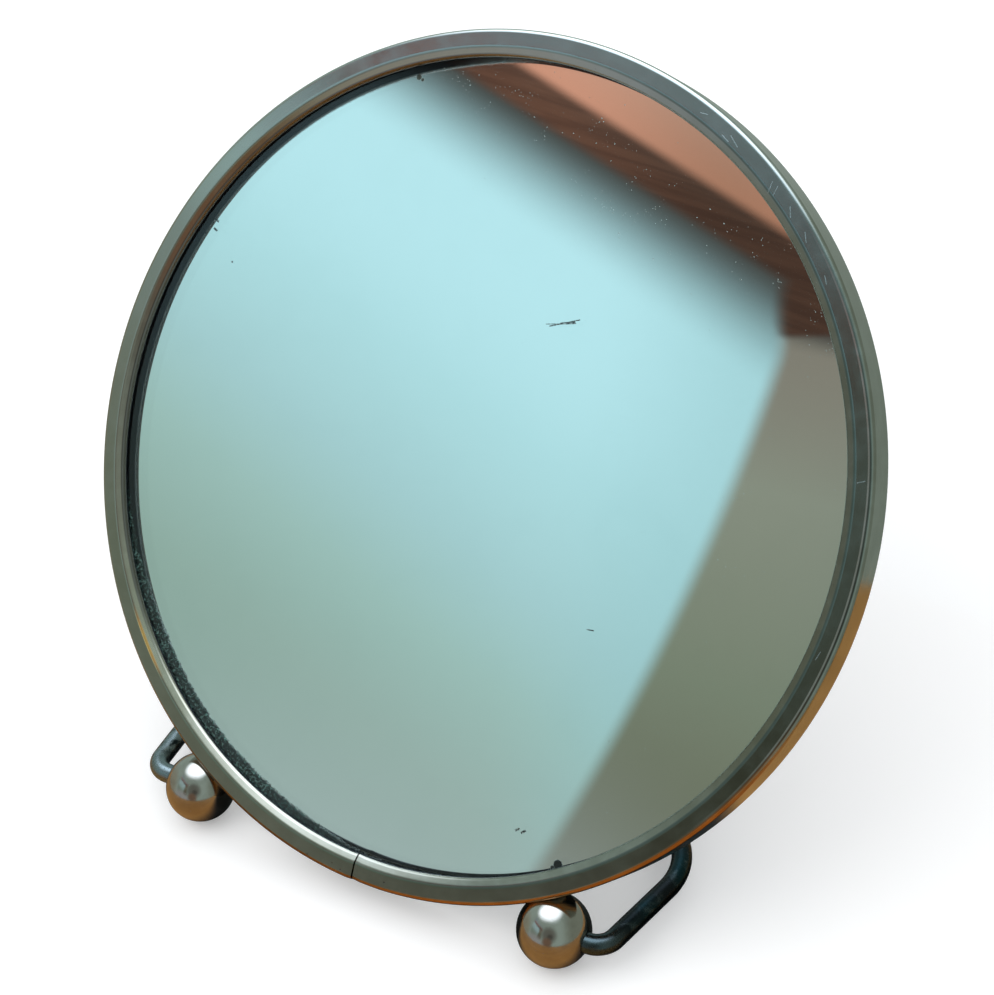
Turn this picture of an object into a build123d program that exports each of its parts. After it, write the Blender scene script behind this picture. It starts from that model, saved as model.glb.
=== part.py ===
import os
from math import asin, atan2, degrees, sqrt, tan

from build123d import *

# Round table mirror on two ball feet, with a bent bar behind it as the third point of support.
# The mirror head is drawn flat: X to the right, Y up the glass, Z out of the glass, with Z = 0 at
# the rim's front. It is then leaned back about the line through the two ball centres.
# In the finished part +Z is up, the glass faces -Y, and the origin lies on the table, below the
# middle of the line between the ball centres.

# How far the glass leans back from upright, as it stands in the photo
lean = 36.0

# Rim: a band of sheet metal rolled to a channel, its two ends butted at the bottom. Its face falls
# a little from the ridge outwards, and a bevel runs in from the ridge to the glass.
# Bend radii are those of the outside.
rim_diameter = 240.0
sheet = 1.1
face_width = 7.6
face_fall = 0.15
bevel_width = 2.4
bevel_depth = 1.3
ridge_bend = 1.1
shoulder_bend = 1.4
lip_bend = 1.4
lip_drop = 2.7
rear_lip_width = 4.5
rear_edge_cut = 0.8
seam_direction = -90.0
seam_gap = 0.3

# Glass and what lies behind it, from front to back
glass_thickness = 4.0
glass_arris = 0.4
coat_thickness = 0.2
packing_thickness = 0.8
board_thickness = 3.0
plate_thickness = 0.8
edge_room = 2.5
layer_step = 0.4

# Back plate: a pressed field, raised behind a sloping step
field_diameter = 192.0
field_height = 1.5
field_slope = 4.0
plate_side_clearance = 0.3

# Cork shims round the edge of the glass, at angles counted from the right
shim_angles = (30.0, 90.0, 150.0, 210.0, 330.0)
shim_length = 16.0
shim_clearance = 0.05

# Strap inside the seam and its two countersunk screws
strap_length = 30.0
strap_width = 6.0
strap_thickness = 1.4
strap_clearance = 0.05
seam_screw_diameter = 2.5
seam_screw_head_diameter = 4.4
seam_screw_spacing = 18.0
seam_screw_tip = 0.4
seam_slot_width = 0.7
seam_slot_depth = 0.45
screw_clearance = 0.05

# Ball feet: each ball is cut to sit round the rim's wall, as deep as the bite
ball_diameter = 20.6
ball_spacing = 121.0
ball_bite = 1.8
ball_from_front = 7.2

# Foot screws, from inside the rim into the balls, and the plugs that they press on the bar
foot_screw_diameter = 4.0
foot_head_diameter = 7.0
foot_head_height = 1.3
foot_slot_width = 1.0
foot_slot_depth = 0.6
wall_hole_clearance = 0.15
plug_from_centre = 5.2
plug_clearance = 0.05

# Stand bail, drawn flat: out from a ball's centre, and back from the line between the balls
bar_diameter = 5.8
bar_end_chamfer = 0.5
bore_clearance = 0.05
bar_past_centre = 5.5
bar_end_room = 0.6
bail_side_play = 1.5
elbow_out = 16.6
knee_out = 23.0
knee_back = 37.1
rear_half_width = 24.0
rear_back = 112.0
elbow_radius = 6.0
knee_radius = 22.0
rear_corner_radius = 20.0

# Worked out from the sizes above
rim_radius = rim_diameter / 2
wall_inner_radius = rim_radius - sheet
opening_radius = rim_radius - face_width
glass_radius = wall_inner_radius - edge_room
glass_front = -lip_drop
coat_front = glass_front - glass_thickness
packing_front = coat_front - coat_thickness
board_front = packing_front - packing_thickness
plate_front = board_front - board_thickness
rim_back = plate_front - plate_thickness - sheet
plate_radius = wall_inner_radius - plate_side_clearance
field_radius = field_diameter / 2

ball_radius = ball_diameter / 2
bar_radius = bar_diameter / 2
bore_radius = bar_radius + bore_clearance
ball_x = ball_spacing / 2
ball_reach = rim_radius + ball_radius - ball_bite
ball_y = -sqrt(ball_reach**2 - ball_x**2)
ball_z = -ball_from_front
foot_angle = degrees(atan2(ball_x, -ball_y))
plug_outer = ball_reach - plug_from_centre

seam_angle = degrees(seam_screw_spacing / 2 / rim_radius)
seam_head_height = (seam_screw_head_diameter - seam_screw_diameter) / 2
seam_z = (glass_front + plate_front) / 2
strap_outer_radius = wall_inner_radius - strap_clearance
strap_inner_radius = strap_outer_radius - strap_thickness

bail_drop = degrees(asin((ball_radius - bar_radius) / rear_back))
lean_back = Pos(0, 0, ball_radius) * Rot(90 - lean, 0, 0) * Pos(0, -ball_y, -ball_z)
lay_down = Pos(-bail_side_play, 0, ball_radius) * Rot(-bail_drop, 0, 0)


def sheet_section(path, thickness):
    """The section of a bent sheet: a path of radius against height, thickened to its left."""
    line = Polyline(*path).wire()
    return make_face(line.offset_2d(thickness, kind=Kind.INTERSECTION, side=Side.LEFT)).face()


def corner(section, place):
    """The corner of a section that lies nearest to a place."""
    return section.vertices().sort_by_distance((*place, 0))[:1]


def turned(section, turn=360.0):
    """A section of radius against height, spun about the mirror's axis."""
    return revolve(Plane.XZ * section, Axis.Z, turn)


def disc(radius, front, thickness):
    return Pos(0, 0, front - thickness / 2) * Cylinder(radius, thickness)


def arc_block(inner, outer, length, front, thickness, angle):
    """A short piece of a flat ring, centred on an angle counted from the right."""
    half = length / 2 / outer
    reach = 2 * outer
    wedge = Polygon((0, 0), (reach, -reach * tan(half)), (reach, reach * tan(half)), align=None)
    cutter = extrude(Plane.XY.offset(front - thickness) * wedge, thickness)
    ring = disc(outer, front, thickness) - disc(inner, front, thickness)
    return Rot(0, 0, angle) * (ring & cutter)


def outward(angle, height):
    """A place on the mirror's axis whose own Z axis points out across the rim."""
    return Rot(0, 0, angle) * Pos(0, 0, height) * Rot(0, 90, 0)


def foot_line(side):
    """From the mirror's axis through a ball's centre; side is -1 at the left and 1 at the right."""
    return outward(seam_direction + side * foot_angle, ball_z)


def seam_line(side):
    return outward(seam_direction + side * seam_angle, seam_z)


def rod(radius, start, end):
    """A round rod along Z."""
    return Pos(0, 0, (start + end) / 2) * Cylinder(radius, abs(end - start))


def slot(width, depth, length, surface):
    """A screwdriver slot cut down from a surface at a height along Z."""
    return Pos(0, 0, surface) * Box(length, width, 2 * depth)


def make_seam_screw(extra=0.0):
    """One countersunk screw, or with some extra the hole that it needs."""
    shank = seam_screw_diameter / 2 + extra
    head = seam_screw_head_diameter / 2 + extra
    surface = sqrt(rim_radius**2 - (seam_screw_head_diameter / 2) ** 2)
    tip = strap_inner_radius - seam_screw_tip
    cone = Pos(0, 0, surface - seam_head_height / 2) * Cone(shank, head, seam_head_height)
    body = cone + rod(shank, tip, surface - seam_head_height)
    if extra:
        return body + rod(head, surface, rim_radius + sheet)
    return body - slot(seam_slot_width, seam_slot_depth, seam_screw_head_diameter, surface)


def make_rim():
    rear = (rim_radius, rim_back)
    shoulder = (rim_radius, -face_fall)
    ridge = (opening_radius + bevel_width, 0)
    lip = (opening_radius, -bevel_depth)
    rear_lip = (rim_radius - rear_lip_width, rim_back)
    section = sheet_section([rear_lip, rear, shoulder, ridge, lip, (opening_radius, glass_front)], sheet)
    for place, bend in ((shoulder, shoulder_bend), (ridge, ridge_bend), (lip, lip_bend)):
        section = section.fillet_2d(bend, corner(section, place))
    # The cut behind the shoulder leaves the sheet as thick there as elsewhere
    inside_cut = (2 - sqrt(2)) * (shoulder_bend - sheet)
    for place, cut in ((rear, rear_edge_cut), ((wall_inner_radius, -face_fall - sheet), inside_cut)):
        section = section.chamfer_2d(cut, cut, corner(section, place))
    gap = degrees(seam_gap / rim_radius)
    rim = Rot(0, 0, seam_direction + gap / 2) * turned(section, 360 - gap)
    for side in (-1, 1):
        hole = foot_screw_diameter / 2 + wall_hole_clearance
        rim -= foot_line(side) * rod(hole, glass_radius, rim_radius + sheet)
        rim -= seam_line(side) * make_seam_screw(screw_clearance)
    return rim


def make_seam_strap():
    front = seam_z + strap_width / 2
    size = (strap_inner_radius, strap_outer_radius, strap_length, front, strap_width)
    strap = arc_block(*size, seam_direction)
    for side in (-1, 1):
        strap -= seam_line(side) * make_seam_screw(screw_clearance)
    return strap


def make_glass():
    glass = disc(glass_radius, glass_front, glass_thickness)
    return chamfer(glass.edges().filter_by(GeomType.CIRCLE), glass_arris)


def make_edge_shims():
    inner = glass_radius + shim_clearance
    outer = wall_inner_radius - shim_clearance
    front = glass_front - glass_arris
    depth = glass_thickness - 2 * glass_arris
    return Compound(
        children=[arc_block(inner, outer, shim_length, front, depth, angle) for angle in shim_angles]
    )


def make_back_plate():
    raised = plate_front - field_height
    step = [(field_radius + field_slope, plate_front), (field_radius, raised)]
    return turned(sheet_section([(plate_radius, plate_front), *step, (0, raised)], plate_thickness))


def make_ball(side):
    ball = Pos(side * ball_x, ball_y, ball_z) * Rot(0, 90, 0) * Sphere(ball_radius)
    ball -= rod(rim_radius, ball_z - ball_radius, ball_z + ball_radius)
    inner_end = ball_x - bar_past_centre - bail_side_play - bar_end_room
    bore = rod(bore_radius, inner_end, ball_x + ball_diameter)
    ball -= Pos(0, ball_y, ball_z) * Rot(0, side * 90, 0) * bore
    ball -= foot_line(side) * rod(foot_screw_diameter / 2, wall_inner_radius, ball_reach)
    return ball


def make_foot_screw(side):
    head_radius = foot_head_diameter / 2
    seat = sqrt(wall_inner_radius**2 - head_radius**2)
    top = seat - foot_head_height
    head = rod(head_radius, top, seat)
    head -= slot(foot_slot_width, foot_slot_depth, foot_head_diameter, top)
    shank = rod(foot_screw_diameter / 2, seat, plug_outer)
    return foot_line(side) * (head + shank)


def make_friction_plug(side):
    plug = foot_line(side) * rod(foot_screw_diameter / 2 - plug_clearance, plug_outer, ball_reach)
    bar = Pos(side * ball_x, ball_y, ball_z) * Rot(0, 90, 0) * Cylinder(bore_radius, ball_diameter)
    return plug - bar


def make_bail():
    half = [
        (ball_x - bar_past_centre, 0),
        (ball_x + elbow_out, 0),
        (ball_x + knee_out, knee_back),
        (rear_half_width, rear_back),
    ]
    corners = half + [(-x, y) for x, y in reversed(half)]
    bends = [elbow_radius, knee_radius, rear_corner_radius]
    route = FilletPolyline(*corners, radius=bends + bends[::-1])
    bar = sweep(Plane(route @ 0, z_dir=route % 0) * Circle(bar_radius), path=route)
    return chamfer(bar.faces().filter_by(Axis.X).edges(), bar_end_chamfer)


def pair(make):
    """The same piece at the left and at the right, as one group of two solids."""
    return Compound(children=[make(side) for side in (-1, 1)])


head = {
    "rim": make_rim(),
    "seam_strap": make_seam_strap(),
    "seam_screws": pair(lambda side: seam_line(side) * make_seam_screw()),
    "mirror_glass": make_glass(),
    "silver_coat": disc(glass_radius - layer_step, coat_front, coat_thickness),
    "packing_sheet": disc(glass_radius - layer_step, packing_front, packing_thickness),
    "backing_board": disc(glass_radius, board_front, board_thickness),
    "back_plate": make_back_plate(),
    "edge_shims": make_edge_shims(),
    "ball_feet": pair(make_ball),
    "foot_screws": pair(make_foot_screw),
    "friction_plug_left": make_friction_plug(-1),
    "friction_plug_right": make_friction_plug(1),
}

placed = {name: lean_back * shape for name, shape in head.items()}
placed["stand_bail"] = lay_down * make_bail()

os.makedirs("parts", exist_ok=True)
for name, shape in placed.items():
    export_step(shape, f"parts/{name}.step")
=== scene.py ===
import math

import bmesh
import bpy
from mathutils import Euler, Matrix, Vector


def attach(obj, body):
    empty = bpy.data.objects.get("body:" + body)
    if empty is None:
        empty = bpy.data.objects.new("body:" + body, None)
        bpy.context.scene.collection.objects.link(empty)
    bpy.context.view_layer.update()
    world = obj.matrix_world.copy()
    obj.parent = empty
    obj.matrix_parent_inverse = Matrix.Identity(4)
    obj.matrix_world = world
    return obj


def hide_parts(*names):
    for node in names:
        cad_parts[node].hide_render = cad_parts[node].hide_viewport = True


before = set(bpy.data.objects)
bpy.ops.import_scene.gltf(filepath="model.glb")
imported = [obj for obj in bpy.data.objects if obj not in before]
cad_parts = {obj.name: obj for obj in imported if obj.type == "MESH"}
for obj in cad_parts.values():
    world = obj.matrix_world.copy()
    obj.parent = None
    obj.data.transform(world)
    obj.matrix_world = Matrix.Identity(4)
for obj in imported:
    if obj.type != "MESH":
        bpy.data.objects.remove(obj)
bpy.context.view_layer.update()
mm = 0.001

# Where the mirror head and the stand lie, as in the part's drawing
layout = {
    "lean": 36.0,
    "rimRadius": 120.0,
    "ballRadius": 10.3,
    "ballSpacing": 121.0,
    "ballReach": 128.5,
    "ballBehindFront": 7.2,
    "barRadius": 2.9,
    "sidePlay": 1.5,
    "standDepth": 112.0,
}
ballX = layout["ballSpacing"] / 2
ballY = -math.sqrt(layout["ballReach"] ** 2 - ballX ** 2)
ballZ = -layout["ballBehindFront"]
bailDrop = math.asin((layout["ballRadius"] - layout["barRadius"]) / layout["standDepth"])


def turn(degrees, axis):
    return Matrix.Rotation(math.radians(degrees), 4, axis)


def shift(x, y, z):
    return Matrix.Translation(Vector((x, y, z)) * mm)


headPlace = shift(0, 0, layout["ballRadius"]) @ turn(90 - layout["lean"], "X") @ shift(0, -ballY, -ballZ)
bailPlace = shift(-layout["sidePlay"], 0, layout["ballRadius"]) @ turn(-math.degrees(bailDrop), "X")


# Meshes are drawn flat in millimetres, then laid in place

def roundedLine(corners, steps=8):
    # corners are (across, up, bend radius); a bend of 0 stays sharp
    points = []
    for index, (x, y, bend) in enumerate(corners):
        here = Vector((x, y))
        if not bend or index in (0, len(corners) - 1):
            points.append(here)
            continue
        before = Vector(corners[index - 1][:2]) - here
        after = Vector(corners[index + 1][:2]) - here
        half = before.angle(after) / 2
        reach = bend / math.tan(half)
        middle = here + (before.normalized() + after.normalized()).normalized() * bend / math.sin(half)
        start = here + before.normalized() * reach - middle
        end = here + after.normalized() * reach - middle
        sweep = start.angle_signed(end)
        for step in range(steps + 1):
            angle = -sweep * step / steps
            points.append(middle + Vector((start.x * math.cos(angle) - start.y * math.sin(angle),
                                           start.x * math.sin(angle) + start.y * math.cos(angle))))
    return points


def spun(points, steps, start=0.0, sweep=360.0, joined=True, tweak=None):
    # an outline of (radius, height) spun about Z; joined closes the outline on itself
    mesh = bmesh.new()
    whole = abs(sweep - 360) < 1e-6
    rings = steps if whole else steps + 1
    grid = []
    for ring in range(rings):
        share = ring / steps
        angle = math.radians(start + sweep * share)
        row = []
        for point in points:
            radius, height = tweak(point, share) if tweak else point
            if radius < 1e-6:
                row.append(grid[0][len(row)] if grid else mesh.verts.new((0, 0, height)))
            else:
                row.append(mesh.verts.new((radius * math.cos(angle), radius * math.sin(angle), height)))
        grid.append(row)
    count = len(points)
    for ring in range(steps):
        here, there = grid[ring], grid[(ring + 1) % rings]
        for index in range(count if joined else count - 1):
            after = (index + 1) % count
            corners = [here[index], there[index], there[after], here[after]]
            corners = [c for n, c in enumerate(corners) if c not in corners[:n]]
            if len(corners) > 2:
                mesh.faces.new(corners)
    if not whole:
        mesh.faces.new(grid[0])
        mesh.faces.new(list(reversed(grid[-1])))
    bmesh.ops.recalc_face_normals(mesh, faces=mesh.faces)
    return mesh


def asObject(name, mesh):
    made = bpy.data.meshes.new(name)
    mesh.to_mesh(made)
    mesh.free()
    piece = bpy.data.objects.new(name, made)
    bpy.context.scene.collection.objects.link(piece)
    return piece


def cutAway(mesh, tool):
    # takes one flat mesh out of another and gives back what is left
    piece, cutter = asObject("cutPiece", mesh), asObject("cutter", tool)
    cut = piece.modifiers.new("cut", "BOOLEAN")
    cut.operation, cut.solver, cut.object = "DIFFERENCE", "EXACT", cutter
    bpy.context.view_layer.update()
    left = bmesh.new()
    left.from_object(piece, bpy.context.evaluated_depsgraph_get())
    bpy.data.objects.remove(piece)
    bpy.data.objects.remove(cutter)
    return left


def addPiece(name, mesh, place, body, finish, replaced, sharp=32.0):
    bmesh.ops.transform(mesh, matrix=place @ Matrix.Scale(mm, 4), verts=mesh.verts)
    piece = asObject(name, mesh)
    piece.data.polygons.foreach_set("use_smooth", [True] * len(piece.data.polygons))
    piece.data.set_sharp_from_angle(angle=math.radians(sharp))
    evener = piece.modifiers.new("evenShade", "WEIGHTED_NORMAL")
    evener.keep_sharp, evener.weight = True, 90
    piece.data.materials.append(finish)
    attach(piece, body)
    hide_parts(replaced)
    return piece


# Materials: a small language for node trees

class Wire:
    # an output socket that takes part in arithmetic; each sign adds a Math node
    def __init__(self, finish, socket):
        self.finish = finish
        self.socket = socket

    def __add__(self, other):
        return self.finish.math("ADD", self, other)

    def __radd__(self, other):
        return self.finish.math("ADD", other, self)

    def __sub__(self, other):
        return self.finish.math("SUBTRACT", self, other)

    def __rsub__(self, other):
        return self.finish.math("SUBTRACT", other, self)

    def __mul__(self, other):
        return self.finish.math("MULTIPLY", self, other)

    def __rmul__(self, other):
        return self.finish.math("MULTIPLY", other, self)

    def __truediv__(self, other):
        return self.finish.math("DIVIDE", self, other)

    def __rtruediv__(self, other):
        return self.finish.math("DIVIDE", other, self)

    def __pow__(self, other):
        return self.finish.math("POWER", self, other)


class Finish:
    def __init__(self, name):
        self.material = bpy.data.materials.new(name)
        self.material.use_nodes = True
        self.tree = self.material.node_tree
        self.tree.nodes.clear()

    def node(self, kind, settings=None, sockets=None, output=0):
        # settings first, then the sockets' values or links
        made = self.tree.nodes.new(kind)
        for key, value in (settings or {}).items():
            if key == "stops":
                ramp = made.color_ramp.elements
                while len(ramp) < len(value):
                    ramp.new(0.5)
                for stop, (place, colour) in zip(ramp, value):
                    stop.position = place
                    stop.color = (*colour, 1.0)
            else:
                setattr(made, key, value)
        for key, value in (sockets or {}).items():
            if isinstance(value, Wire):
                self.tree.links.new(value.socket, made.inputs[key])
            else:
                made.inputs[key].default_value = value
        return Wire(self, made.outputs[output]) if made.outputs else None

    def math(self, operation, *values):
        return self.node("ShaderNodeMath", {"operation": operation}, dict(enumerate(values)))

    def vector(self, operation, *values, output=0):
        return self.node("ShaderNodeVectorMath", {"operation": operation}, dict(enumerate(values)), output)

    def flatPlace(self, place):
        # where a point lies on the flat drawing of a piece, in millimetres
        spot = self.node("ShaderNodeTexCoord", output="Object")
        rows = (place @ Matrix.Scale(mm, 4)).inverted()[:3]
        along = [self.vector("DOT_PRODUCT", spot, tuple(row[:3]), output=1) + row[3] for row in rows]
        return self.join(*along)

    def solidPlace(self):
        # where a point of a CAD solid or of the stage lies, in millimetres
        place = self.node("ShaderNodeTexCoord", output="Object")
        return self.vector("MULTIPLY", place, (1 / mm, 1 / mm, 1 / mm))

    def axes(self, vector):
        return [self.node("ShaderNodeSeparateXYZ", sockets={0: vector}, output=n) for n in range(3)]

    def join(self, x, y, z):
        return self.node("ShaderNodeCombineXYZ", sockets={0: x, 1: y, 2: z})

    def smooth(self, value, low, high, start=0.0, end=1.0):
        sockets = {"Value": value, "From Min": low, "From Max": high, "To Min": start, "To Max": end}
        return self.node("ShaderNodeMapRange", {"interpolation_type": "SMOOTHSTEP"}, sockets)

    def noise(self, vector, scale, detail=3.0, rough=0.5, bend=0.0):
        sockets = {"Vector": vector, "Scale": scale, "Detail": detail,
                   "Roughness": rough, "Distortion": bend}
        return self.node("ShaderNodeTexNoise", sockets=sockets)

    def cells(self, vector, scale, output="Distance"):
        return self.node("ShaderNodeTexVoronoi", sockets={"Vector": vector, "Scale": scale}, output=output)

    def mix(self, share, first, second, kind="MIX"):
        ends = [v if isinstance(v, Wire) else (*v, 1.0) for v in (first, second)]
        settings = {"data_type": "RGBA", "blend_type": kind}
        return self.node("ShaderNodeMix", settings, {0: share, 6: ends[0], 7: ends[1]}, output=2)

    def towards(self, direction, azimuth, elevation, inner, outer):
        # 1 where a direction in the head's axes lies within so many degrees of another one
        a, e = math.radians(azimuth), math.radians(elevation)
        aim = Vector((math.sin(a) * math.cos(e), -math.cos(a) * math.cos(e), math.sin(e)))
        aim = headPlace.to_3x3().inverted() @ aim
        near = self.vector("DOT_PRODUCT", direction, tuple(aim), output=1)
        return self.smooth(near, math.cos(math.radians(outer)), math.cos(math.radians(inner)))

    def ramp(self, value, stops):
        return self.node("ShaderNodeValToRGB", {"stops": stops}, {0: value})

    def bump(self, height, strength, distance):
        sockets = {"Height": height, "Strength": strength, "Distance": distance}
        return self.node("ShaderNodeBump", sockets=sockets)

    def surface(self, **sockets):
        names = {key.replace("_", " "): value for key, value in sockets.items()}
        shader = self.node("ShaderNodeBsdfPrincipled", sockets=names)
        self.node("ShaderNodeOutputMaterial", sockets={"Surface": shader})
        return self.material

    def stroke(self, x, y, start, end, width):
        # 1 on a thin line between two points, 0 off it
        ax, ay = start
        bx, by = end
        long = math.hypot(bx - ax, by - ay)
        ux, uy = (bx - ax) / long, (by - ay) / long
        along = (x - ax) * ux + (y - ay) * uy
        across = self.math("ABSOLUTE", (x - ax) * -uy + (y - ay) * ux)
        past = self.math("ABSOLUTE", along - long / 2) - long / 2
        far = self.math("MAXIMUM", across, past)
        return self.smooth(far, width * 0.4, width, 1.0, 0.0)

    def spot(self, x, y, centre, radius, soft=0.4):
        away = self.math("SQRT", (x - centre[0]) ** 2.0 + (y - centre[1]) ** 2.0)
        return self.smooth(away, radius * (1 - soft), radius, 1.0, 0.0)

    def most(self, *masks):
        result = masks[0]
        for mask in masks[1:]:
            result = self.math("MAXIMUM", result, mask)
        return result


def linear(*screen):
    # a screen colour, 0 to 255, as the renderer's own numbers
    shares = [value / 255 for value in screen]
    return tuple(s / 12.92 if s <= 0.0404 else ((s + 0.055) / 1.055) ** 2.4 for s in shares)


# Rim

rim = {
    "faceWidth": 7.6,
    "faceFall": 0.15,
    "bevelWidth": 2.4,
    "bevelDepth": 1.3,
    "ridgeBend": 2.6,
    "sheet": 1.1,
    "depth": 12.6,
    "lipDrop": 2.7,
    "rearLip": 4.5,
    "shoulderBend": 1.4,
    "lipBend": 1.4,
    "rearCut": 0.8,
    "rearCutBend": 0.3,
    "edgeEase": 0.12,
    "seamGap": 0.5,
    # at the seam: degrees over which an end falls, and by how much
    "seamEase": (0.35, 0.12),
    "seamStep": (5.0, 0.16),
    "steps": 360,
    "screwHead": 2.25,
    "screwDepth": 1.0,
    "screwFromSeam": 9.0,
    "screwHeight": -6.7,
    "screwSteps": 48,
    "paleTone": (0.47, 0.43, 0.37),
    "deepTone": (0.31, 0.29, 0.25),
    "cloudTone": (0.54, 0.52, 0.48),
    "grimeShadeTone": (0.003, 0.006, 0.012),
    "roughness": 0.13,
    # painted reflection tones round the face and on the bevel, by share of a turn from the left
    "facePaintedLight": [(0.0, (0.72, 0.66, 0.62)), (0.17, (0.62, 0.62, 0.52)), (0.30, (0.47, 0.46, 0.38)),
                (0.44, (0.44, 0.47, 0.45)), (0.54, (0.60, 0.72, 0.76)), (0.64, (0.72, 0.82, 0.94)),
                (0.82, (0.78, 0.80, 0.90)), (0.90, (0.92, 0.95, 0.95)), (0.935, (0.76, 0.72, 0.70)),
                (1.0, (0.72, 0.66, 0.62))],
    "bevelPaintedLight": [(0.0, (1.5, 1.6, 1.6)), (0.10, (1.15, 1.1, 1.0)), (0.35, (1.0, 1.0, 1.0)),
                 (0.43, (0.60, 0.62, 0.58)), (0.54, (0.60, 0.66, 0.72)), (0.72, (0.90, 0.96, 1.02)),
                 (0.88, (0.86, 0.74, 0.56)), (0.95, (0.96, 0.78, 0.70)), (1.0, (1.5, 1.6, 1.6))],
    # painted light: a lighter wall, a warm reflection on the lower edge, shade on the lip and the ridge, a
    # highlight line and a glint
    "wallPaintedLight": (1.05, 1.08, 1.10),
    "warmPaintedReflection": ((0.60, 0.40, 0.24), (1.5, 0.78, 0.34)),
    "lipPaintedShade": (0.42, 0.40, 0.42),
    "ridgePaintedShade": (0.2, 0.2, 0.2),
    "ridgeRadius": 114.85,
    "highlightRadius": 118.45,
    "paintedHighlight": (2.0, 2.0, 2.3),
    "paintedGlint": (2.6, 1.35, 0.5),
    # fine cross scratches at the right: degrees round the rim, radius, length, slant
    "scratches": [(59.2, 116.6, 3.6, 14), (60.4, 115.6, 2.6, 4), (51.4, 115.8, 3.0, 60),
                  (50.6, 116.4, 2.4, 64), (47.2, 116.4, 2.8, 30), (43.4, 116.5, 2.6, 22),
                  (37.4, 116.4, 2.2, 10), (64.8, 116.9, 2.0, -20), (-10.0, 116.2, 2.4, 8),
                  (12.0, 116.6, 2.0, 76)],
    "scratchWidth": 0.13,
    "scratchTone": (0.80, 0.85, 0.95),
    # pits near the seam: degrees round the rim, radius, size
    "pits": [(-91.9, 118.1, 0.30), (-93.4, 117.4, 0.22), (-84.8, 117.2, 0.32),
             (-97.5, 118.6, 0.26), (-99.2, 118.9, 0.3)],
    "pitTone": (0.02, 0.02, 0.02),
}


def paintedRimLight(f, x, y, z, radius, leftward):
    # painted light that the plating's colour is multiplied by: reflection tones, highlights and shade,
    # from face, bevel and lip to shoulder and wall
    share = f.math("FRACT", f.math("ARCTAN2", y, x) / (2 * math.pi) + 0.5)
    # painted reflection tones by angle, one ramp for the face and one for the bevel
    bevel = f.smooth(radius, 114.9, 114.3)
    paintedTone = f.mix(bevel, f.ramp(share, rim["facePaintedLight"]), f.ramp(share, rim["bevelPaintedLight"]))
    # the shoulder and wall are painted a little lighter
    paintedTone = f.mix(f.smooth(radius, 119.0, 119.5), paintedTone, rim["wallPaintedLight"])
    # a painted highlight line at the right, where the face meets the shoulder
    hair = f.smooth(f.math("ABSOLUTE", radius - rim["highlightRadius"]), 0.30, 0.12)
    hair = hair * f.smooth(share, 0.38, 0.46) * f.smooth(share, 0.64, 0.56)
    paintedTone = f.mix(hair * 0.7, paintedTone, rim["paintedHighlight"])
    # the lower edge takes a warm painted reflection
    lower = f.smooth(share, 0.13, 0.19) * f.smooth(share, 0.46, 0.40) * f.smooth(radius, 118.5, 119.2)
    warm = f.mix(f.smooth(share, 0.20, 0.28), *rim["warmPaintedReflection"])
    paintedTone = f.mix(lower * f.smooth(z, -2.5, -1.5), paintedTone, warm)
    # the ridge is painted darker at the right, and has one painted glint at the lower left
    ridge = f.smooth(f.math("ABSOLUTE", radius - rim["ridgeRadius"]), 0.55, 0.2) * f.smooth(x, 0, 50)
    paintedTone = f.mix(ridge * 0.5, paintedTone, rim["ridgePaintedShade"])
    bright = f.smooth(share, 0.096, 0.112) * f.smooth(share, 0.134, 0.118)
    bright = bright * f.spot(radius, z, (114.7, -0.1), 0.7, 0.8)
    paintedTone = f.mix(bright, paintedTone, rim["paintedGlint"])
    # the lip's bend at the left is painted darker, a painted shade
    return f.mix(f.smooth(radius, 113.5, 113.0) * leftward, paintedTone, rim["lipPaintedShade"])


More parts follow.
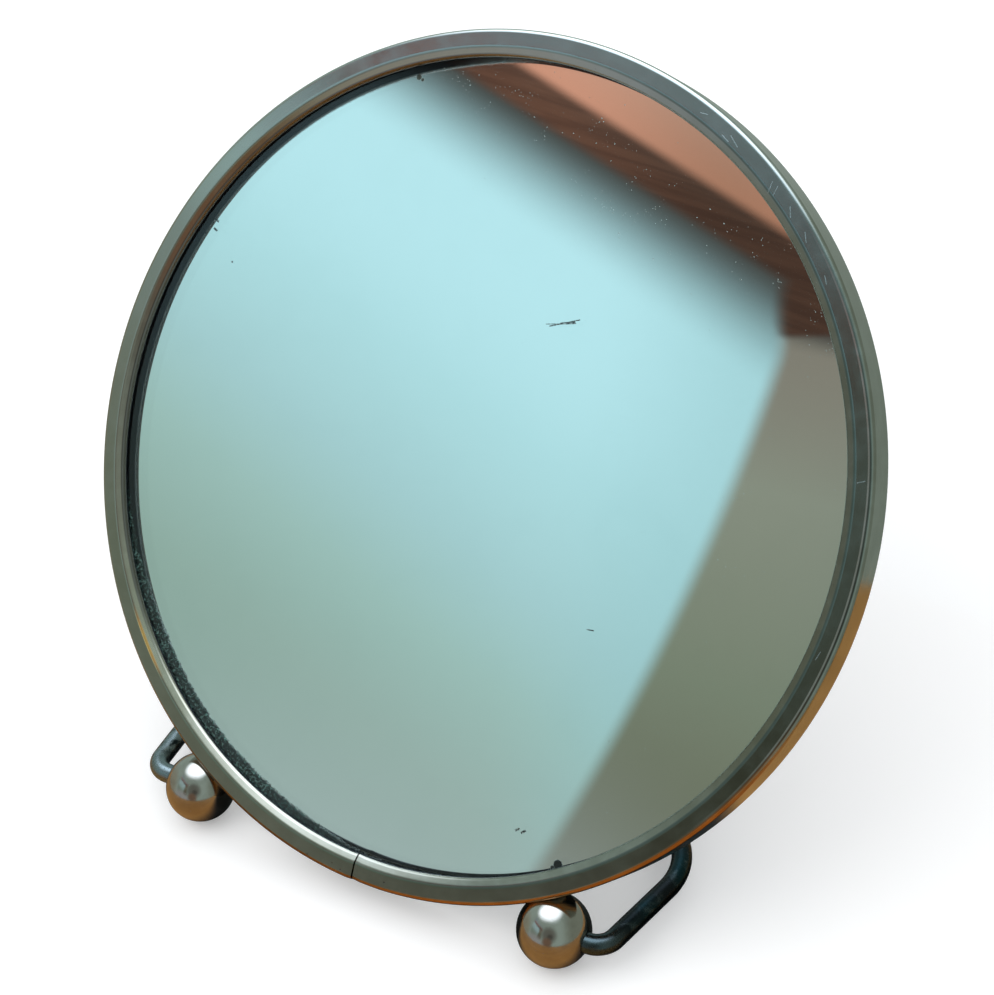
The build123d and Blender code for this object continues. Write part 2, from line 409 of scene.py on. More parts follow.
def rimPlating():
    f = Finish("agedRimPlatingPaintedLight")
    place = f.flatPlace(headPlace)
    x, y, z = f.axes(place)
    radius = f.math("SQRT", x ** 2.0 + y ** 2.0)
    around = f.math("ARCTAN2", y, x) * layout["rimRadius"]
    # the plating is darker at the lower right than at the upper left
    lowerRightDarker = f.smooth(x * 0.8 - y * 0.5 + (f.noise(place, 0.02, 2.0) - 0.5) * 90, -70, 70)
    colour = f.mix(lowerRightDarker, rim["paleTone"], rim["deepTone"])
    cloud = f.smooth(f.noise(place, 0.12, 4.0, 0.6), 0.35, 0.75)
    colour = f.mix(cloud * 0.3, colour, rim["cloudTone"])
    leftward = f.smooth(x * -0.93 + y * 0.37, 30, 70)
    colour = f.mix(1.0, colour, paintedRimLight(f, x, y, z, radius, leftward), "MULTIPLY")
    # dirt and painted shade fill the step between the lip and the glass, more of it at the left
    grimeAndShade = f.smooth(z + 0.55 * leftward, -1.45, -1.75) * f.smooth(radius, 113.4, 113.0)
    grimeAndShade = f.math("MINIMUM", grimeAndShade * (0.85 + 0.3 * f.noise(place, 0.2, 2.0)), 1.0)
    colour = f.mix(grimeAndShade, colour, rim["grimeShadeTone"])
    hairs = f.noise(f.join(around * 0.35, radius * 9.0, z * 9.0), 0.55, 4.0, 0.65)
    marks = []
    for degrees, middle, length, slant in rim["scratches"]:
        centre = math.radians(degrees) * layout["rimRadius"]
        dx = math.cos(math.radians(slant)) * length / 2
        dy = math.sin(math.radians(slant)) * length / 2
        start, end = (centre - dx, middle - dy), (centre + dx, middle + dy)
        marks.append(f.stroke(around, radius, start, end, rim["scratchWidth"]))
    scratch = f.most(*marks) * f.smooth(z, -1.2, -0.4)
    pits = []
    for degrees, middle, size in rim["pits"]:
        pits.append(f.spot(around, radius, (math.radians(degrees) * layout["rimRadius"], middle), size))
    pits = f.most(*pits) * f.smooth(z, -1.5, -0.6)
    specks = f.smooth(f.cells(place, 0.55), 0.10, 0.04) * f.smooth(f.noise(place, 0.05, 2.0), 0.56, 0.64)
    colour = f.mix(scratch * 0.30, colour, rim["scratchTone"])
    colour = f.mix(f.most(pits, specks * 0.7), colour, rim["pitTone"])
    rough = rim["roughness"] + cloud * 0.07 + hairs * 0.05 + grimeAndShade * 0.4 + scratch * 0.25 + pits * 0.4
    waves = f.noise(f.join(around * 0.03, radius * 0.1, z * 0.1), 1.0, 2.0)
    height = waves * 0.5 + hairs * 0.02 - scratch * 0.05 - pits * 0.2
    return f.surface(Base_Color=colour, Metallic=1.0 - 0.75 * f.most(pits, grimeAndShade), Roughness=rough,
                     Normal=f.bump(height, 0.35, 0.0006))


def thickened(path, thickness):
    # the corners of a bent sheet's inner side, from those of its outer side
    inner = []
    for index, here in enumerate(path):
        here = Vector(here)
        before = (here - Vector(path[index - 1])).normalized() if index else None
        after = (Vector(path[index + 1]) - here).normalized() if index + 1 < len(path) else None
        before, after = before or after, after or before
        normal = Vector((-before.y - after.y, before.x + after.x)).normalized()
        inner.append(here + normal * thickness / normal.dot(Vector((-before.y, before.x))))
    return inner


def buildRim():
    outer, sheet, ease = layout["rimRadius"], rim["sheet"], rim["edgeEase"]
    opening = outer - rim["faceWidth"]
    path = [
        (outer - rim["rearLip"], -rim["depth"]),
        (outer, -rim["depth"]),
        (outer, -rim["faceFall"]),
        (opening + rim["bevelWidth"], 0.0),
        (opening, -rim["bevelDepth"]),
        (opening, -rim["lipDrop"]),
    ]
    bends = [ease, 0.0, rim["shoulderBend"], rim["ridgeBend"], rim["lipBend"], ease]
    corners = [(x, y, bend) for (x, y), bend in zip(path, bends)]
    inner = [(x, y, max(bend - sheet, 0)) for (x, y), bend in zip(thickened(path, sheet), bends)]
    corners += reversed(inner)
    # the rear corner is cut; the outline starts half way along the rear lip's inner side
    cut = rim["rearCut"]
    corners[1:2] = [(outer - cut, -rim["depth"], rim["rearCutBend"]),
                    (outer, cut - rim["depth"], rim["rearCutBend"])]
    middle = (Vector(corners[-1][:2]) + Vector(corners[-2][:2])) / 2
    loop = [(*middle, 0), corners[-1], *corners[:-1], (*middle, 0)]
    points = [tuple(p) for p in roundedLine(loop, 10)[:-1]]
    gap = math.degrees(rim["seamGap"] / outer)

    def tweak(point, share):
        # the ends of the band are eased a little, and one stands a touch lower than the other
        radius, height = point
        end = min(share, 1 - share) * 360
        easing = max(0.0, 1 - end / rim["seamEase"][0]) ** 2 * rim["seamEase"][1]
        step = max(0.0, 1 - share * 360 / rim["seamStep"][0]) * rim["seamStep"][1]
        return radius - easing - step, height - easing * 0.8 - step * 0.5

    band = spun(points, rim["steps"], -90 + gap / 2, 360 - gap, True, tweak)
    head, deep = rim["screwHead"], rim["screwDepth"]
    aside = math.degrees(rim["screwFromSeam"] / outer)
    for side in (-1, 1):
        cone = [(0, -deep), (head - deep, -deep), (head, -0.05), (head, 1.0), (0, 1.0)]
        sink = spun(cone, rim["screwSteps"], joined=False)
        way = turn(-90 + side * aside, "Z")
        aim = way @ Matrix.Translation((outer, 0, rim["screwHeight"])) @ turn(90, "Y")
        bmesh.ops.transform(sink, matrix=aim, verts=sink.verts)
        band = cutAway(band, sink)
    addPiece("rimBand", band, headPlace, "mirror_head", rimPlating(), "rim", 35.0)


# Glass and its silvering

glass = {
    "radius": 116.4,
    "front": -2.7,
    "thickness": 4.0,
    "arris": 0.4,
    "edgeEase": 0.12,
    "tint": (0.93, 0.985, 0.965),
    "smearTint": (0.90, 0.96, 0.94),
    "silverTint": (0.90, 0.93, 0.91),
    "hazeTint": (0.74, 0.78, 0.76),
    # marks in the silver: strokes as start, end and width; spots as centre and radius
    "strokes": [((18.2, 43.6), (26.4, 47.0), 0.22), ((17.0, 43.9), (22.8, 45.2), 0.14),
                ((21.4, 45.0), (25.2, 46.0), 0.42), ((43.6, -90.8), (44.3, -90.2), 0.4),
                ((45.4, -90.9), (46.2, -90.1), 0.4), ((49.9, -32.4), (51.7, -32.2), 0.22),
                ((-98.6, 51.4), (-97.2, 50.9), 0.45), ((-97.9, 48.5), (-97.0, 48.1), 0.4),
                ((-101.4, 47.1), (-100.5, 46.5), 0.4)],
    "spots": [((57.9, -96.2), 1.5), ((59.2, -96.6), 0.9), ((56.6, -96.9), 0.8), ((-89.0, 40.1), 0.4)],
    "chip": ((57.9, -95.6), 1.5),
    "rust": [((-39.9, 102.7), 1.0), ((-38.6, 102.2), 0.6)],
    "markTone": (0.012, 0.014, 0.016),
    "rustTone": (0.10, 0.07, 0.03),
    "dustTone": (0.85, 0.85, 0.82),
    "edgeShadeTone": (0.003, 0.006, 0.013),
    "corrodedTone": (0.004, 0.010, 0.010),
    # the corroded band's middle, in degrees clockwise from the right, and how far off it is gone and full
    "corrodedAngle": 124,
    "corrodedSpan": (44, 12),
    "fleckTone": (0.17, 0.34, 0.30),
    "fleckPaintedGlow": (0.075, 0.14, 0.125),
    "silverRadius": 116.0,
    "silverDepth": 0.2,
    "silverOverlap": 0.02,
    "steps": 256,
}


def clearGlass():
    f = Finish("clearPlateGlass")
    place = f.flatPlace(headPlace)
    smear = f.smooth(f.noise(place, 0.03, 4.0, 0.6, 1.5), 0.45, 0.75)
    return f.surface(Base_Color=f.mix(smear * 0.5, glass["tint"], glass["smearTint"]), IOR=1.5,
                     Transmission_Weight=1.0, Specular_IOR_Level=0.2, Roughness=smear * 0.012)


def silvering():
    f = Finish("oldSilveringPaintedLight")
    place = f.flatPlace(headPlace)
    x, y, _ = f.axes(place)
    radius = f.math("SQRT", x ** 2.0 + y ** 2.0)
    angle = f.math("ARCTAN2", y, x) * (180 / math.pi)
    mottle = f.noise(place, 0.35, 5.0, 0.7, 0.6)
    fine = f.noise(place, 1.4, 4.0, 0.7)
    # the corroded band creeps in from the edge at the lower left
    reach = f.smooth(f.math("ABSOLUTE", angle + glass["corrodedAngle"]), *glass["corrodedSpan"])
    ragged = radius + (mottle - 0.5) * 2.4 + (fine - 0.5) * 2.2
    band = f.smooth(ragged, 113.4 - reach * 3.6, 113.9 - reach * 3.2)
    band = band * f.smooth(reach, 0.02, 0.2)
    flecks = f.smooth(f.noise(place, 1.3, 5.0, 0.8, 0.4), 0.53, 0.59) * band * f.smooth(angle, -88, -118)
    leftward = f.smooth(x * -0.93 + y * 0.37, 30, 70)
    # a dark ring of painted shade follows the edge at the upper left
    edgeShade = f.smooth(radius + (fine - 0.5) * 0.5 + leftward * 1.9, 112.1, 113.4) * leftward
    marks = [f.stroke(x, y, *mark) for mark in glass["strokes"]]
    marks += [f.spot(x, y, *mark) for mark in glass["spots"]]
    broken = 0.35 + 0.65 * f.smooth(f.noise(place, 2.2, 3.0), 0.40, 0.52)
    chips = f.most(f.most(*marks) * broken, f.spot(x, y, *glass["chip"], 0.25))
    rust = f.most(*[f.spot(x, y, *mark) for mark in glass["rust"]])
    # dust lies thicker towards the top
    upward = x * 0.35 + y * 0.94
    dust = f.smooth(f.cells(place, 0.42), 0.085, 0.05) * f.smooth(f.noise(place, 0.11, 2.0), 0.50, 0.60)
    dust = dust * (0.25 + 0.75 * f.smooth(upward, 68, 92))
    grit = f.smooth(f.cells(place, 1.3), 0.22, 0.12) * f.smooth(f.noise(place, 0.16, 3.0, 0.7), 0.54, 0.62)
    dust = f.most(dust, grit * 0.55 * f.smooth(upward, 76, 84) * f.smooth(upward, 104, 96))
    haze = f.smooth(f.noise(place, 0.045, 4.0, 0.6), 0.5, 0.8) * 0.08
    colour = f.mix(haze, glass["silverTint"], glass["hazeTint"])
    dark = f.most(band * (0.9 + 0.1 * fine), edgeShade)
    colour = f.mix(dark, colour, f.mix(band, glass["edgeShadeTone"], glass["corrodedTone"]))
    colour = f.mix(flecks, colour, glass["fleckTone"])
    colour = f.mix(chips, colour, glass["markTone"])
    colour = f.mix(rust * 0.85, colour, glass["rustTone"])
    colour = f.mix(dust * 0.8, colour, glass["dustTone"])
    lostAndShaded = f.most(dark, chips, rust, dust)
    rough = 0.012 + 0.4 * lostAndShaded - 0.25 * flecks
    # the flecks glow a little, a painted light
    glow = f.mix(flecks, (0.0, 0.0, 0.0), glass["fleckPaintedGlow"])
    return f.surface(Base_Color=colour, Metallic=1.0 - 0.85 * lostAndShaded * (1.0 - flecks), Roughness=rough,
                     Emission_Color=glow, Emission_Strength=1.0, Normal=f.bump(mottle * band, 0.2, 0.0003))


def buildGlass():
    r, front, thick, arris = glass["radius"], glass["front"], glass["thickness"], glass["arris"]
    ease, back = glass["edgeEase"], front - thick
    corners = [(0, front, 0), (r - arris, front, ease), (r, front - arris, ease),
               (r, back + arris, ease), (r - arris, back, ease), (0, back, 0)]
    mesh = spun([tuple(p) for p in roundedLine(corners, 3)], glass["steps"], joined=False)
    addPiece("glassPlate", mesh, headPlace, "mirror_head", clearGlass(), "mirror_glass", 20.0)
    # the silver's face lies a hair inside the glass, so that no air shows between them
    r, back = glass["silverRadius"], back + glass["silverOverlap"]
    deep = back - glass["silverDepth"]
    mesh = spun([(0, back), (r, back), (r, deep), (0, deep)], glass["steps"], joined=False)
    addPiece("silverCoat", mesh, headPlace, "mirror_head", silvering(), "silver_coat", 20.0)


# Ball feet

ball = {
    "tone": (0.44, 0.39, 0.35),
    "cloudTone": (0.32, 0.28, 0.25),
    "speckTone": (0.06, 0.05, 0.04),
    "roughness": 0.07,
    "boreRadius": 2.95,
    "boreEnd": 7.6,
    "mouthCut": 0.25,
    "steps": 96,
    "profileSteps": 64,
    "seatSteps": 720,
    "seatHalfHeight": 30,
}


def ballPlating():
    f = Finish("ballPlating")
    place = f.flatPlace(headPlace)
    cloud = f.smooth(f.noise(place, 0.22, 4.0, 0.6), 0.35, 0.75)
    fine = f.noise(place, 2.6, 3.0, 0.7)
    hairs = f.noise(f.vector("MULTIPLY", place, (0.5, 7.0, 2.0)), 1.0, 3.0)
    specks = f.smooth(f.cells(place, 0.9), 0.12, 0.06) * f.smooth(f.noise(place, 0.3, 2.0), 0.5, 0.6)
    colour = f.mix(cloud * 0.6, ball["tone"], ball["cloudTone"])
    colour = f.mix(specks * 0.8, colour, ball["speckTone"])
    rough = ball["roughness"] + cloud * 0.06 + hairs * 0.03 + specks * 0.3
    return f.surface(Base_Color=colour, Metallic=1.0 - 0.6 * specks, Roughness=rough,
                     Normal=f.bump(hairs * 0.3 + fine * 0.2, 0.12, 0.0002))


def buildBalls():
    radius, bore = layout["ballRadius"], ball["boreRadius"]
    cut, steps = ball["mouthCut"], ball["profileSteps"]
    mouth = math.sqrt(radius ** 2 - (bore + cut) ** 2)
    first = math.atan2(bore + cut, mouth)
    angles = [math.pi + (first - math.pi) * step / steps for step in range(steps + 1)]
    outline = [(0.0, -radius)] + [(radius * math.sin(a), radius * math.cos(a)) for a in angles[1:]]
    outline += [(bore + 0.07, mouth - 0.05), (bore, mouth - cut)]
    outline += [(bore, -ball["boreEnd"]), (0.0, -ball["boreEnd"])]
    both = bmesh.new()
    for side in (-1, 1):
        # spun about Z, laid along X with the bore's mouth outwards, then cut to the rim's wall
        foot = spun(outline, ball["steps"], joined=False)
        aim = Matrix.Translation((side * ballX, ballY, ballZ)) @ turn(side * 90, "Y")
        bmesh.ops.transform(foot, matrix=aim, verts=foot.verts)
        wide, half = layout["rimRadius"], ball["seatHalfHeight"]
        wall = spun([(0, -half), (wide, -half), (wide, half), (0, half)], ball["seatSteps"], joined=False)
        foot = cutAway(foot, wall)
        seated = bpy.data.meshes.new("seatedFoot")
        foot.to_mesh(seated)
        foot.free()
        both.from_mesh(seated)
        bpy.data.meshes.remove(seated)
    addPiece("ballFeet", both, headPlace, "mirror_head", ballPlating(), "ball_feet", 30.0)


# Stand

bail = {
    "pastCentre": 5.5,
    "elbowOut": 16.6,
    "kneeOut": 23.0,
    "kneeBack": 37.1,
    "rearHalfWidth": 24.0,
    "elbowBend": 6.0,
    "kneeBend": 22.0,
    "rearBend": 20.0,
    "endCut": 0.5,
    "sides": 40,
    "bendSteps": 20,
    "longestStep": 4.0,
    "darkTone": (0.016, 0.018, 0.020),
    "tealTone": (0.010, 0.030, 0.036),
    "bareTone": (0.30, 0.33, 0.34),
    "speckTone": (0.015, 0.012, 0.01),
}


def wornBar():
    f = Finish("wornBarPlatingPaintedLight")
    place = f.flatPlace(bailPlace)
    side, back, _ = f.axes(place)
    streaks = f.noise(f.vector("MULTIPLY", place, (0.25, 0.25, 0.9)), 0.5, 5.0, 0.7, 0.8)
    blotch = f.noise(place, 0.16, 5.0, 0.65, 0.5)
    fine = f.noise(place, 1.9, 4.0, 0.7)
    teal = f.smooth(f.noise(place, 0.05, 2.0), 0.4, 0.62)
    # the worn, bare places show more on the left arm than on the right one, a painted difference in light
    litLeft = f.smooth(side, 20, -40)
    worn = f.smooth(blotch + (streaks - 0.5) * 0.5 + litLeft * 0.12, 0.52, 0.68) * (0.12 + 0.6 * litLeft)
    ends = f.smooth(back, 9, 1) * (0.22 + 0.5 * litLeft)
    worn = f.math("MINIMUM", f.most(worn, ends * (0.4 + 1.0 * fine)), 1.0)
    colour = f.mix(teal, bail["darkTone"], bail["tealTone"])
    colour = f.mix(worn, colour, bail["bareTone"])
    specks = f.smooth(f.cells(place, 1.1), 0.16, 0.07) * f.smooth(blotch, 0.52, 0.6)
    colour = f.mix(specks * 0.8, colour, bail["speckTone"])
    rough = 0.14 + 0.14 * streaks + 0.12 * fine
    return f.surface(Base_Color=colour, Metallic=1.0 - 0.35 * specks, Roughness=rough,
                     Normal=f.bump(streaks * 0.5 + fine * 0.35 - specks * 0.4, 0.28, 0.0003))


def buildBail():
    half = [
        (ballX - bail["pastCentre"], 0, 0),
        (ballX + bail["elbowOut"], 0, bail["elbowBend"]),
        (ballX + bail["kneeOut"], bail["kneeBack"], bail["kneeBend"]),
        (bail["rearHalfWidth"], layout["standDepth"], bail["rearBend"]),
    ]
    corners = half + [(-x, y, bend) for x, y, bend in reversed(half)]
    route = roundedLine(corners, bail["bendSteps"])
    full = [route[0]]
    for point in route[1:]:
        step = (point - full[-1]).length
        pieces = max(1, math.ceil(step / bail["longestStep"]))
        start = full[-1]
        full += [start.lerp(point, n / pieces) for n in range(1, pieces + 1)]
    sides, radius, cut = bail["sides"], layout["barRadius"], bail["endCut"]
    last = len(full) - 1
    rings = [(0, 0.0, radius - cut), (0, cut, radius)] + [(n, 0.0, radius) for n in range(1, last)]
    rings += [(last, -cut, radius), (last, 0.0, radius - cut)]
    mesh, rows = bmesh.new(), []
    for index, ahead, wide in rings:
        direction = (full[min(index + 1, last)] - full[max(index - 1, 0)]).normalized()
        here = full[index] + direction * ahead
        side = Vector((direction.y, -direction.x))
        turns = [2 * math.pi * n / sides for n in range(sides)]
        ring = [(*(here + side * wide * math.cos(t)), wide * math.sin(t)) for t in turns]
        rows.append([mesh.verts.new(point) for point in ring])
    for row, following in zip(rows, rows[1:]):
        for n in range(sides):
            after = (n + 1) % sides
            mesh.faces.new([row[n], row[after], following[after], following[n]])
    mesh.faces.new(rows[0])
    mesh.faces.new(list(reversed(rows[-1])))
    bmesh.ops.recalc_face_normals(mesh, faces=mesh.faces)
    addPiece("standBar", mesh, bailPlace, "stand", wornBar(), "stand_bail", 30.0)


# What lies behind the glass keeps its solids and gets its own finish

inside = {
    "lacquer": (0.018, 0.018, 0.019),
    "lacquerDull": (0.035, 0.033, 0.032),
    "lacquerWorn": (0.17, 0.15, 0.13),
    "board": ((0.30, 0.19, 0.10), (0.42, 0.29, 0.17)),
    "felt": ((0.16, 0.15, 0.13), (0.26, 0.25, 0.22)),
    "cork": ((0.36, 0.22, 0.11), (0.56, 0.38, 0.21)),
    "brass": ((0.50, 0.36, 0.14), (0.66, 0.50, 0.22)),
    "steel": ((0.38, 0.38, 0.38), (0.58, 0.58, 0.57)),
    "fibre": ((0.16, 0.05, 0.03), (0.27, 0.10, 0.06)),
}


def lacquerFinish():
    f = Finish("wornLacquer")
    place = f.solidPlace()
    orangePeel = f.noise(place, 0.6, 2.0)
    scuff = f.noise(f.vector("MULTIPLY", place, (0.15, 1.6, 1.6)), 0.35, 5.0, 0.7, 0.4)
    patches = f.noise(place, 0.03, 4.0, 0.6)
    worn = f.smooth(scuff * 0.7 + patches * 0.5, 0.68, 0.78)
    colour = f.mix(f.smooth(patches, 0.3, 0.7) * 0.5, inside["lacquer"], inside["lacquerDull"])
    colour = f.mix(worn * 0.6, colour, inside["lacquerWorn"])
    rough = 0.34 + 0.12 * orangePeel + 0.15 * worn
    return f.surface(Base_Color=colour, Metallic=worn * 0.5, Roughness=rough,
                     Normal=f.bump(orangePeel * 0.5 - worn * 0.3, 0.15, 0.0003))


def grainFinish(name, tones, scale, stretch, metallic, rough, depth):
    f = Finish(name)
    place = f.solidPlace()
    grain = f.noise(f.vector("MULTIPLY", place, stretch), scale, 5.0, 0.65, 0.3)
    large = f.noise(place, scale * 0.15, 3.0)
    colour = f.mix(f.smooth(grain * 0.6 + large * 0.4, 0.35, 0.65), *tones)
    return f.surface(Base_Color=colour, Metallic=metallic, Roughness=rough + 0.12 * grain,
                     Normal=f.bump(grain, 0.4, depth))


def dressInside():
    board = grainFinish("pressedBoard", inside["board"], 0.7, (1.0, 3.0, 3.0), 0.0, 0.75, 0.0002)
    steel = grainFinish("turnedSteel", inside["steel"], 1.5, (1.0, 1.0, 4.0), 1.0, 0.28, 0.00008)
    fibre = grainFinish("pressedFibre", inside["fibre"], 1.2, (1.0, 1.0, 1.0), 0.0, 0.6, 0.0001)
    finishes = {
        "back_plate": lacquerFinish(),
        "backing_board": board,
        "packing_sheet": grainFinish("greyFelt", inside["felt"], 1.6, (1.0, 1.0, 1.0), 0.0, 0.9, 0.0003),
        "edge_shims": grainFinish("corkGrain", inside["cork"], 0.9, (1.0, 1.0, 1.0), 0.0, 0.8, 0.0003),
        "seam_strap": grainFinish("rolledBrass", inside["brass"], 1.0, (0.2, 3.0, 3.0), 1.0, 0.3, 0.00008),
        "seam_screws": steel,
        "foot_screws": steel,
        "friction_plug_left": fibre,
        "friction_plug_right": fibre,
    }
    for node, finish in finishes.items():
        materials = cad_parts[node].data.materials
        materials.clear()
        materials.append(finish)


# Floor, light and the soft tones that the bright parts reflect

studio = {
    "floorTone": ((0.93, 0.93, 0.93), (0.91, 0.915, 0.92)),
    "floorLift": 0.20,
    "floorReach": 6.0,
    "skyTone": (0.98, 0.99, 1.0),
    "skyStrength": 1.0,
    "lampPlace": (-0.7, -0.8, 1.7),
    "lampAim": (0.0, 0.05, 0.1),
    "lampSize": (1.6, 1.2),
    "lampPower": 6.0,
    # a warm sheet that only the bright parts show, in metres
    "sheetSides": (-0.24, 0.25),  # left and right
    "sheetEnds": (-0.42, 0.18),  # front and back
    "sheetTone": ((0.36, 0.18, 0.04), (0.46, 0.24, 0.06)),
    "sheetSheen": (0.26, 0.29, 0.26),
    # a painted shadow on the sheet round where the mirror stands
    "contactShadowMiddle": (0.0, 30.0),
    "contactShadowReach": (130.0, 45.0),
    "contactShadowTone": (0.004, 0.004, 0.004),
    "domeRadius": 3.0,
    "domeSteps": 72,
    # tones of the mirror's own view: pale teal at the left, olive at the right, brown and salmon above
    "viewGain": (1.13, 1.03, 1.04),
    "pale": [(0.0, linear(139, 169, 160)), (0.12, linear(146, 177, 169)), (0.36, linear(157, 194, 190)),
             (0.60, linear(166, 209, 214)), (0.86, linear(177, 226, 234)), (1.0, linear(187, 237, 247))],
    "paleRight": linear(150, 198, 204),
    "olive": [(0.0, linear(106, 112, 96)), (0.35, linear(120, 133, 116)), (0.8, linear(136, 145, 132)),
              (1.0, linear(130, 128, 118))],
    "dusk": linear(70, 74, 72),
    "brown": (linear(98, 72, 60), linear(74, 56, 47)),
    "brownLines": ((0.80, 0.79, 0.80), (1.08, 1.05, 1.02)),
    "salmon": (linear(208, 150, 125), linear(170, 122, 98)),
    "slateLeft": (0.34, 0.47, 0.58),
    "slateRight": (0.25, 0.33, 0.38),
    # where those tones meet: limits of each soft step, the lower one first
    "bandSlant": (0.347, 0.938),
    "oliveEdge": (-0.010, 0.006),
    "duskEdge": (-0.118, -0.048),
    "brownEdge": (-0.056, -0.046),
    "salmonEdge": (-0.030, -0.021),
    "slateEdge": (0.0, 0.02),
    "cornerEdge": (0.103, 0.109),
    # outside that view
    "plain": (0.42, 0.58, 0.55),
    "low": (0.33, 0.40, 0.36),
    # soft patches below and above that view: azimuth, elevation, full within, gone by, colour
    "patchesBelow": [(120, -5, 30, 75, (0.27, 0.34, 0.29)), (-75, -5, 10, 35, (0.38, 0.42, 0.34))],
    "patchesAbove": [(-25, -12, 14, 34, (0.46, 0.52, 0.55)), (14, 30, 10, 30, (0.19, 0.22, 0.20)),
                     (18, 25, 3, 11, (0.11, 0.12, 0.11)), (10, 7, 7, 18, (0.25, 0.18, 0.13)),
                     (60, 84, 8, 25, (0.74, 1.0, 1.04)), (-130, 74, 19, 39, (2.8, 3.4, 3.9))],
}


def warmSheetFinish():
    f = Finish("warmSheet")
    place = f.solidPlace()
    x, y, _ = f.axes(place)
    grain = f.noise(f.vector("MULTIPLY", place, (0.002, 0.014, 0.001)), 3.0, 5.0, 0.6, 0.6)
    colour = f.mix(f.smooth(grain, 0.3, 0.7), *studio["sheetTone"])
    # greyer towards the left, a painted sheen
    colour = f.mix(f.smooth(x, -130, -220), colour, studio["sheetSheen"])
    # a painted shadow round where the mirror stands
    middle, reach = studio["contactShadowMiddle"], studio["contactShadowReach"]
    away = ((x - middle[0]) / reach[0]) ** 2.0 + ((y - middle[1]) / reach[1]) ** 2.0
    colour = f.mix(f.smooth(away, 1.15, 0.7), colour, studio["contactShadowTone"])
    return f.surface(Base_Color=colour, Roughness=0.6)


def floorFinish():
    f = Finish("palePlainFloor")
    colour = f.mix(f.noise(f.solidPlace(), 0.0015, 2.0), *studio["floorTone"])
    return f.surface(Base_Color=colour, Roughness=0.9, Emission_Color=colour,
                     Emission_Strength=studio["floorLift"])


def domeGlow():
    # what the bright parts reflect, by direction: a and b run across and up the mirror's own view
    f = Finish("softDome")
    direction = f.vector("NORMALIZE", f.solidPlace())
    x, y, z = f.axes(direction)
    deep = f.math("MAXIMUM", z, 0.12)
    a, b = x / deep, y / deep
    level = y * math.cos(math.radians(layout["lean"])) + z * math.sin(math.radians(layout["lean"]))
    pale = f.ramp(f.smooth(b + 0.35 * (a + 0.5), -0.42, 0.04), studio["pale"])
    pale = f.mix(f.smooth(a, -0.48, -0.33) * 0.5, pale, studio["paleRight"])
    olive = f.ramp(f.smooth(b, -0.36, 0.06), studio["olive"])
    # the olive part starts at a slightly bent edge, and has a corner of its own at the top
    bent = a + 0.334 - b * 0.101 + b * b * 0.336 + f.smooth(b, 0.02, 0.07) * 0.012
    right = f.smooth(bent, *studio["oliveEdge"])
    corner = f.smooth(b * 0.978 - a * 0.207, *studio["cornerEdge"])
    # the bands above it run across on a slant
    across = a * studio["bandSlant"][0] + b * studio["bandSlant"][1]
    farther = f.smooth(a, -0.54, -0.38)
    lower = f.smooth(across, *studio["duskEdge"]) * f.most(1.0 - right, f.smooth(b, 0.028, 0.044))
    seen = f.mix(lower, f.mix(right, pale, olive), studio["dusk"])
    corner = f.most(corner, f.smooth(b, 0.036, 0.056) * right)
    above = f.most(f.smooth(across, *studio["brownEdge"]) * f.most(1.0 - right, corner), right * corner)
    streaks = f.noise(f.join(a * 6, (b * 0.985 + a * 0.12) * 150, 0.0), 1.0, 4.0, 0.65)
    lines = f.mix(f.smooth(streaks, 0.40, 0.62), *studio["brownLines"])
    seen = f.mix(above, seen, f.mix(1.0, f.mix(farther, *studio["brown"]), lines, "MULTIPLY"))
    top = f.smooth(across, *studio["salmonEdge"]) * f.most(1.0 - right, corner)
    seen = f.mix(top, seen, f.mix(farther, *studio["salmon"]))
    seen = f.vector("MULTIPLY", seen, studio["viewGain"])
    slate = f.mix(f.smooth(a, -0.6, -0.2), studio["slateLeft"], studio["slateRight"])
    seen = f.mix(f.smooth(across, *studio["slateEdge"]), seen, slate)
    # away from the mirror's own view the dome is plain, with soft patches
    colour = f.mix(f.smooth(level, 0.02, -0.08), studio["plain"], studio["low"])
    own = f.smooth(a, -1.15, -0.95) * f.smooth(a, -0.12, -0.22) * f.smooth(b, -0.6, -0.48)
    own = own * f.smooth(z, 0.3, 0.42) * f.smooth(level, 0.77, 0.62)
    for patch in studio["patchesBelow"]:
        colour = f.mix(f.towards(direction, *patch[:4]), colour, patch[4])
    colour = f.mix(own, colour, seen)
    for patch in studio["patchesAbove"]:
        colour = f.mix(f.towards(direction, *patch[:4]), colour, patch[4])
    glow = f.node("ShaderNodeEmission", sockets={"Color": colour, "Strength": 1.0})
    f.node("ShaderNodeOutputMaterial", sockets={"Surface": glow})
    return f.material


def flatSheet(name, left, right, front, back, finish):
    corners = [(left, front, 0), (right, front, 0), (right, back, 0), (left, back, 0)]
    made = bpy.data.meshes.new(name)
    made.from_pydata(corners, [], [(0, 1, 2, 3)])
    sheet = bpy.data.objects.new(name, made)
    bpy.context.scene.collection.objects.link(sheet)
    made.materials.append(finish)
    return sheet


def seenBy(piece, camera, diffuse, glossy, shadow):
    piece.visible_camera = camera
    piece.visible_diffuse = diffuse
    piece.visible_glossy = glossy
    piece.visible_transmission = glossy
    piece.visible_shadow = shadow


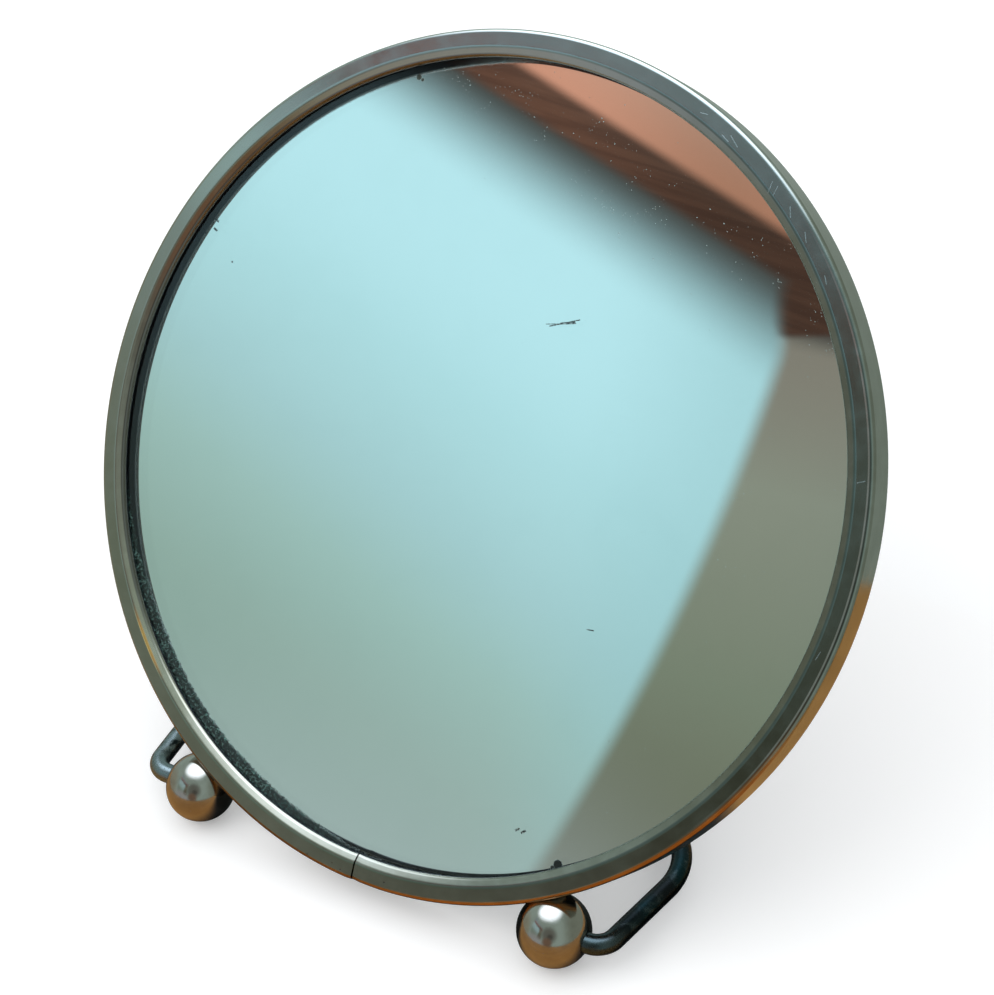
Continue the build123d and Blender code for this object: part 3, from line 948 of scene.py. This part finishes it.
def buildStudio():
    floor = flatSheet("floor", *[studio["floorReach"] * side for side in (-1, 1, -1, 1)], floorFinish())
    seenBy(floor, True, True, False, True)
    warm = flatSheet("warmSheet", *studio["sheetSides"], *studio["sheetEnds"], warmSheetFinish())
    seenBy(warm, False, False, True, False)
    angles = [math.radians(t) for t in range(5, 180, 5)]
    outline = [(0, 1)] + [(math.sin(t), math.cos(t)) for t in angles] + [(0, -1)]
    dome = asObject("softDome", spun(outline, studio["domeSteps"], joined=False))
    dome.data.transform(Matrix.Scale(studio["domeRadius"], 4))
    dome.matrix_world = headPlace
    dome.data.materials.append(domeGlow())
    seenBy(dome, False, False, True, False)
    world = bpy.data.worlds.new("softSky")
    bpy.context.scene.world = world
    world.use_nodes = True
    sky = world.node_tree.nodes["Background"].inputs
    sky["Color"].default_value = (*studio["skyTone"], 1.0)
    sky["Strength"].default_value = studio["skyStrength"]
    world.cycles_visibility.glossy = False
    world.cycles_visibility.transmission = False
    lamp = bpy.data.lights.new("softLamp", "AREA")
    lamp.shape, lamp.energy = "RECTANGLE", studio["lampPower"]
    lamp.size, lamp.size_y = studio["lampSize"]
    hung = bpy.data.objects.new("softLamp", lamp)
    bpy.context.scene.collection.objects.link(hung)
    hung.location = studio["lampPlace"]
    hung.rotation_euler = (Vector(studio["lampAim"]) - hung.location).to_track_quat("-Z", "Y").to_euler()
    hung.visible_glossy = hung.visible_transmission = hung.visible_camera = False


# Camera, from the ellipses of the rim and the two balls

view = {
    "place": (0.251532, -0.282280, 0.412697),
    "turn": (52.9482, 4.9671, 30.8028),
    "lens": 69.13,
    "sensor": 36.0,
    "clip": (0.02, 50.0),
}


def buildCamera():
    lens = bpy.data.cameras.new("camera")
    lens.lens = view["lens"]
    lens.sensor_width = view["sensor"]
    lens.clip_start, lens.clip_end = view["clip"]
    camera = bpy.data.objects.new("camera", lens)
    bpy.context.scene.collection.objects.link(camera)
    camera.location = view["place"]
    camera.rotation_euler = Euler([math.radians(v) for v in view["turn"]])
    bpy.context.scene.camera = camera


buildCamera()
print("camera is in place")
buildRim()
print("rim is spun")
buildGlass()
print("glass and silvering are laid")
buildBalls()
print("ball feet are turned and cut to the rim")
buildBail()
print("stand is bent")
dressInside()
print("inner pieces have their finishes")
buildStudio()
print("studio is lit")
bpy.context.scene.view_settings.view_transform = "Standard"
